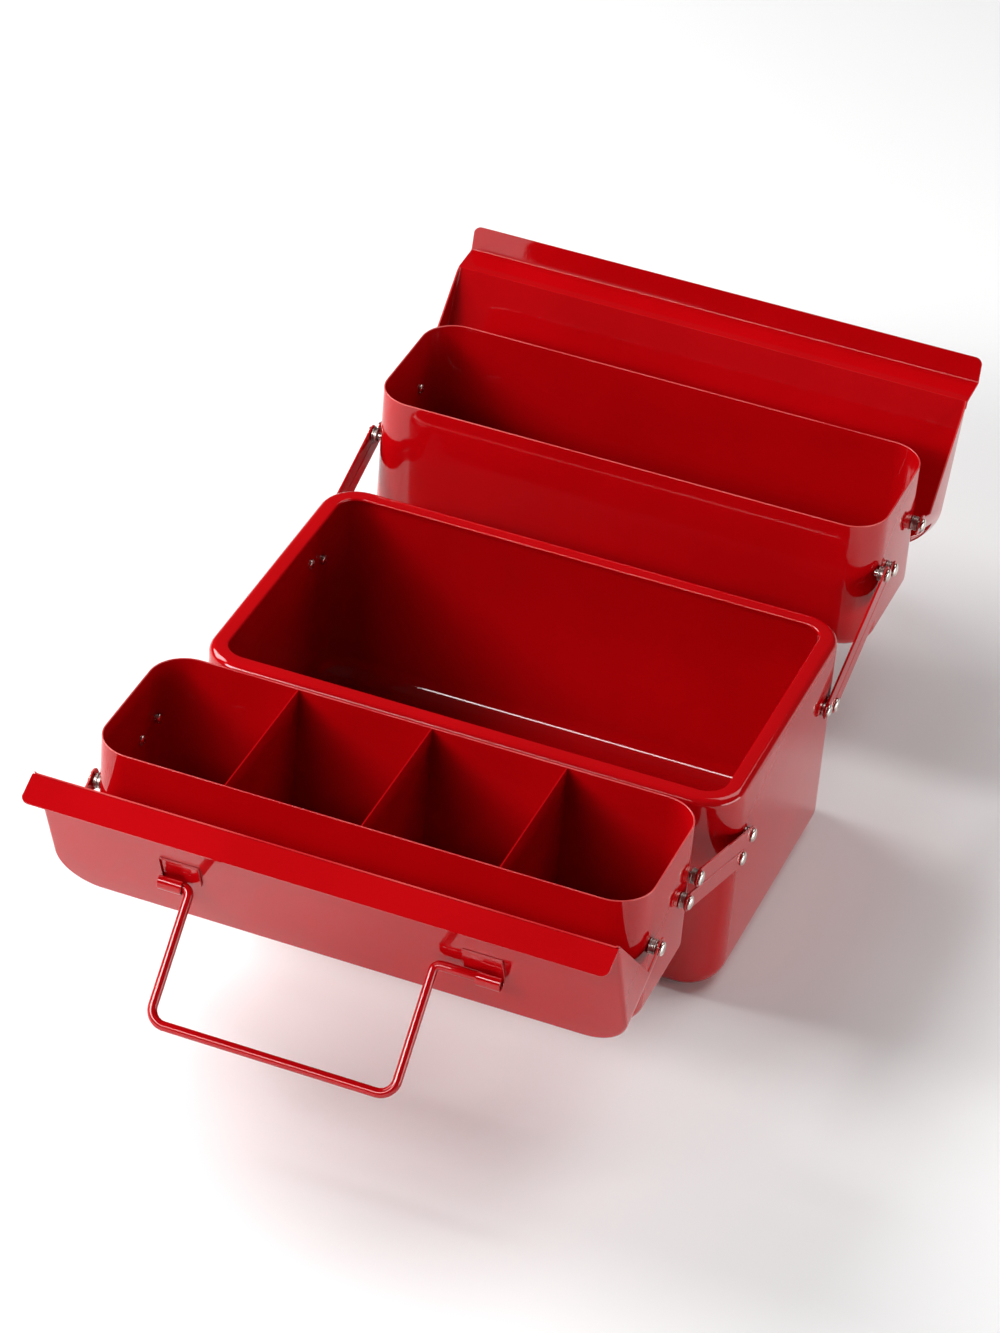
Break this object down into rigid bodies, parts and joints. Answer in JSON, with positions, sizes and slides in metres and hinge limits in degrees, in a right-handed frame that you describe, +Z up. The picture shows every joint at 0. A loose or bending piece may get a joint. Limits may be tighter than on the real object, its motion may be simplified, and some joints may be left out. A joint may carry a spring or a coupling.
{
  "type": "cantilever toolbox",
  "caption": "Steel toolbox with a deep base, swing-out trays on parallel links, hinged lid halves and wire carrying handles, standing open.",
  "frame": {"origin": "centre of the base box's flat underside, where it stands on the bench", "axes": "+X to the right along the length, +Y towards the back, +Z up; the trays swing out along Y"},
  "size_m": [0.3646, 0.734, 0.2091],
  "materials": {
    "enamel_box": "gloss enamel over sheet steel",
    "enamel_tray": "gloss enamel over sheet steel",
    "enamel_divider": "gloss enamel over sheet steel",
    "enamel_link": "gloss enamel over sheet steel",
    "enamel_lid": "gloss enamel over sheet steel",
    "enamel_clip": "gloss enamel over sheet steel",
    "enamel_handle": "gloss enamel over steel wire",
    "nickel_rivet": "dull nickel plate",
    "washer_steel": "plated washers, slightly dull"
  },
  "bodies": {
    "base": {"base_box": "enamel_box", "front_base_rivet_a_left": "nickel_rivet", "front_base_rivet_a_right": "nickel_rivet", "front_base_rivet_b_left": "nickel_rivet", "front_base_rivet_b_right": "nickel_rivet", "rear_base_rivet_a_left": "nickel_rivet", "rear_base_rivet_a_right": "nickel_rivet", "rear_base_rivet_b_left": "nickel_rivet", "rear_base_rivet_b_right": "nickel_rivet"},
    "front_links_a": {"front_link_a_left": "enamel_link", "front_link_a_right": "enamel_link"},
    "front_links_b": {"front_link_b_left": "enamel_link", "front_link_b_right": "enamel_link"},
    "front_tray": {"front_tray": "enamel_tray", "front_tray_rivet_a_left": "nickel_rivet", "front_tray_washers_a_left": "washer_steel", "front_tray_rivet_a_right": "nickel_rivet", "front_tray_washers_a_right": "washer_steel", "front_tray_rivet_b_left": "nickel_rivet", "front_tray_washers_b_left": "washer_steel", "front_tray_rivet_b_right": "nickel_rivet", "front_tray_washers_b_right": "washer_steel", "front_lid_rivet_left": "nickel_rivet", "front_lid_washers_left": "washer_steel", "front_lid_rivet_right": "nickel_rivet", "front_lid_washers_right": "washer_steel", "front_divider_1": "enamel_divider", "front_divider_2": "enamel_divider", "front_divider_3": "enamel_divider"},
    "front_lid": {"front_lid": "enamel_lid", "front_clip_left": "enamel_clip", "front_clip_right": "enamel_clip"},
    "front_handle": {"front_handle": "enamel_handle"},
    "rear_links_a": {"rear_link_a_left": "enamel_link", "rear_link_a_right": "enamel_link"},
    "rear_links_b": {"rear_link_b_left": "enamel_link", "rear_link_b_right": "enamel_link"},
    "rear_tray": {"rear_tray": "enamel_tray", "rear_tray_rivet_a_left": "nickel_rivet", "rear_tray_washers_a_left": "washer_steel", "rear_tray_rivet_a_right": "nickel_rivet", "rear_tray_washers_a_right": "washer_steel", "rear_tray_rivet_b_left": "nickel_rivet", "rear_tray_washers_b_left": "washer_steel", "rear_tray_rivet_b_right": "nickel_rivet", "rear_tray_washers_b_right": "washer_steel", "rear_lid_rivet_left": "nickel_rivet", "rear_lid_washers_left": "washer_steel", "rear_lid_rivet_right": "nickel_rivet", "rear_lid_washers_right": "washer_steel"},
    "rear_lid": {"rear_lid": "enamel_lid", "rear_clip_left": "enamel_clip", "rear_clip_right": "enamel_clip"},
    "rear_handle": {"rear_handle": "enamel_handle"}
  },
  "joints": [
    {"name": "front_link_a_swing", "type": "hinge", "parent": "base", "child": "front_links_a", "pos_m": [0, -0.072, 0.104], "axis": [-1, 0, 0], "range_deg": [0, 99.27]},
    {"name": "front_link_b_swing", "type": "hinge", "parent": "base", "child": "front_links_b", "pos_m": [0, -0.0892, 0.0978], "axis": [-1, 0, 0], "range_deg": [0, 99.27]},
    {"name": "front_tray_level", "type": "hinge", "parent": "front_links_a", "child": "front_tray", "pos_m": [0, -0.1767, 0.14336], "axis": [-1, 0, 0], "range_deg": [-99.27, 0]},
    {"name": "front_lid_hinge", "type": "hinge", "parent": "front_tray", "child": "front_lid", "pos_m": [0, -0.2467, 0.14086], "axis": [-1, 0, 0], "range_deg": [0, 111.8]},
    {"name": "front_handle_swing", "type": "hinge", "parent": "front_lid", "child": "front_handle", "pos_m": [0, -0.30947, 0.13352], "axis": [-1, 0, 0], "range_deg": [-59.8, 76.8]},
    {"name": "rear_link_a_swing", "type": "hinge", "parent": "base", "child": "rear_links_a", "pos_m": [0, 0.072, 0.104], "axis": [1, 0, 0], "range_deg": [0, 99.27]},
    {"name": "rear_link_b_swing", "type": "hinge", "parent": "base", "child": "rear_links_b", "pos_m": [0, 0.0892, 0.0978], "axis": [1, 0, 0], "range_deg": [0, 99.27]},
    {"name": "rear_tray_level", "type": "hinge", "parent": "rear_links_a", "child": "rear_tray", "pos_m": [0, 0.1767, 0.14336], "axis": [1, 0, 0], "range_deg": [-99.27, 0]},
    {"name": "rear_lid_hinge", "type": "hinge", "parent": "rear_tray", "child": "rear_lid", "pos_m": [0, 0.2467, 0.14086], "axis": [1, 0, 0], "range_deg": [0, 111.8]},
    {"name": "rear_handle_swing", "type": "hinge", "parent": "rear_lid", "child": "rear_handle", "pos_m": [0, 0.30947, 0.13352], "axis": [1, 0, 0], "range_deg": [-59.8, 76.8]}
  ],
  "couplings": [
    {"joint": "front_link_b_swing", "follows": "front_link_a_swing", "ratio": 1},
    {"joint": "front_tray_level", "follows": "front_link_a_swing", "ratio": -1},
    {"joint": "rear_link_b_swing", "follows": "rear_link_a_swing", "ratio": 1},
    {"joint": "rear_tray_level", "follows": "rear_link_a_swing", "ratio": -1}
  ]
}
